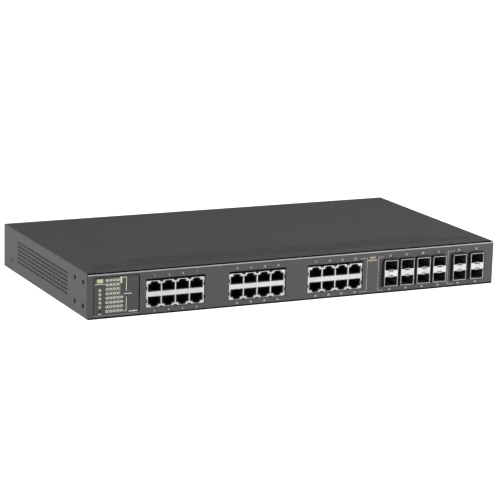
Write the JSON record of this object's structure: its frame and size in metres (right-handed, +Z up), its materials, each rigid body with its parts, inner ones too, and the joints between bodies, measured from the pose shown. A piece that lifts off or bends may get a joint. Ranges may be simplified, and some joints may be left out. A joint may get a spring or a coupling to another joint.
{
  "type": "rackmount network switch",
  "caption": "One-unit rackmount network switch: dark folded steel case, recessed status label, shielded stacked jacks, stacked transceiver cages, side vents and perforated top.",
  "frame": {"origin": "middle of the footprint at the underside of the base", "axes": "+X to the right seen from the front, +Y from the front to the rear, +Z up; the front panel faces -Y"},
  "size_m": [0.44, 0.2416, 0.044],
  "materials": {
    "cover_paint": "fine satin powder coat, dark grey",
    "base_paint": "fine satin powder coat, dark grey",
    "panel_paint": "fine satin powder coat, dark grey",
    "label_film": "matte printed film",
    "clear_pipe": "clear moulded plastic",
    "board_green": "solder mask",
    "power_board_tan": "bare laminate",
    "led_package": "moulded chip package",
    "switch_black": "moulded plastic",
    "button_black": "moulded plastic",
    "shield_steel": "plated stamped sheet",
    "jack_plastic": "moulded plastic",
    "gold_contact": "gold flash",
    "cage_steel": "plated stamped sheet",
    "connector_plastic": "moulded plastic",
    "gasket_rubber": "filled elastomer",
    "chip_body": "moulded package",
    "heatsink_aluminium": "extruded and anodised",
    "inductor_ferrite": "ferrite and tape",
    "capacitor_can": "shrink sleeve",
    "insulator_film": "thin polyester sheet",
    "inlet_plastic": "moulded plastic",
    "pin_nickel": "nickel plate",
    "lead_insulation": "insulated wire",
    "plated_steel": "zinc plate",
    "black_screw": "black plate",
    "fan_plastic": "moulded plastic"
  },
  "bodies": {
    "chassis": {"board_capacitors": "capacitor_can", "board_inductors": "inductor_ferrite", "board_screws": "plated_steel", "board_standoffs": "plated_steel", "bulk_capacitor": "capacitor_can", "cage_gaskets": "gasket_rubber", "chassis_base": "base_paint", "console_jack": "shield_steel", "cover_screws": "black_screw", "ear_inserts": "plated_steel", "fan_frame_1": "fan_plastic", "fan_frame_2": "fan_plastic", "fan_screws": "plated_steel", "front_panel": "panel_paint", "ground_screw": "plated_steel", "inlet_leads": "lead_insulation", "inlet_pins": "pin_nickel", "led_board": "board_green", "main_board": "board_green", "memory_chips": "chip_body", "output_capacitors": "capacitor_can", "output_harness": "lead_insulation", "panel_screws": "black_screw", "phy_chips": "chip_body", "phy_heatsinks": "heatsink_aluminium", "port_light_pipes": "clear_pipe", "power_board": "power_board_tan", "power_heatsinks": "heatsink_aluminium", "power_inlet": "inlet_plastic", "power_insulator": "insulator_film", "power_transformer": "inductor_ferrite", "reset_switch": "switch_black", "rj45_contacts": "gold_contact", "rj45_housing_1": "jack_plastic", "rj45_housing_2": "jack_plastic", "rj45_housing_3": "jack_plastic", "rj45_shield_1": "shield_steel", "rj45_shield_2": "shield_steel", "rj45_shield_3": "shield_steel", "sfp_cage_1": "cage_steel", "sfp_cage_2": "cage_steel", "sfp_cage_3": "cage_steel", "sfp_cage_4": "cage_steel", "sfp_connector_1": "connector_plastic", "sfp_connector_2": "connector_plastic", "sfp_connector_3": "connector_plastic", "sfp_connector_4": "connector_plastic", "sfp_plus_cage_1": "cage_steel", "sfp_plus_cage_2": "cage_steel", "sfp_plus_connector_1": "connector_plastic", "sfp_plus_connector_2": "connector_plastic", "status_label": "label_film", "status_leds": "led_package", "switch_chip": "chip_body", "switch_heatsink": "heatsink_aluminium", "system_light_pipes": "clear_pipe", "top_cover": "cover_paint"},
    "reset_button": {"reset_button": "button_black"},
    "fan_rotor_1": {"fan_rotor_1": "fan_plastic"},
    "fan_rotor_2": {"fan_rotor_2": "fan_plastic"}
  },
  "joints": [
    {"name": "reset_press", "type": "slide", "parent": "chassis", "child": "reset_button", "axis": [0, 1, 0], "range_m": [0, 0.0005], "stiffness_N_per_m": 2000},
    {"name": "fan_spin_1", "type": "hinge", "parent": "chassis", "child": "fan_rotor_1", "pos_m": [0.2069, -0.02175, 0.0222], "axis": [1, 0, 0], "continuous": true},
    {"name": "fan_spin_2", "type": "hinge", "parent": "chassis", "child": "fan_rotor_2", "pos_m": [0.2069, 0.03325, 0.0222], "axis": [1, 0, 0], "continuous": true}
  ]
}
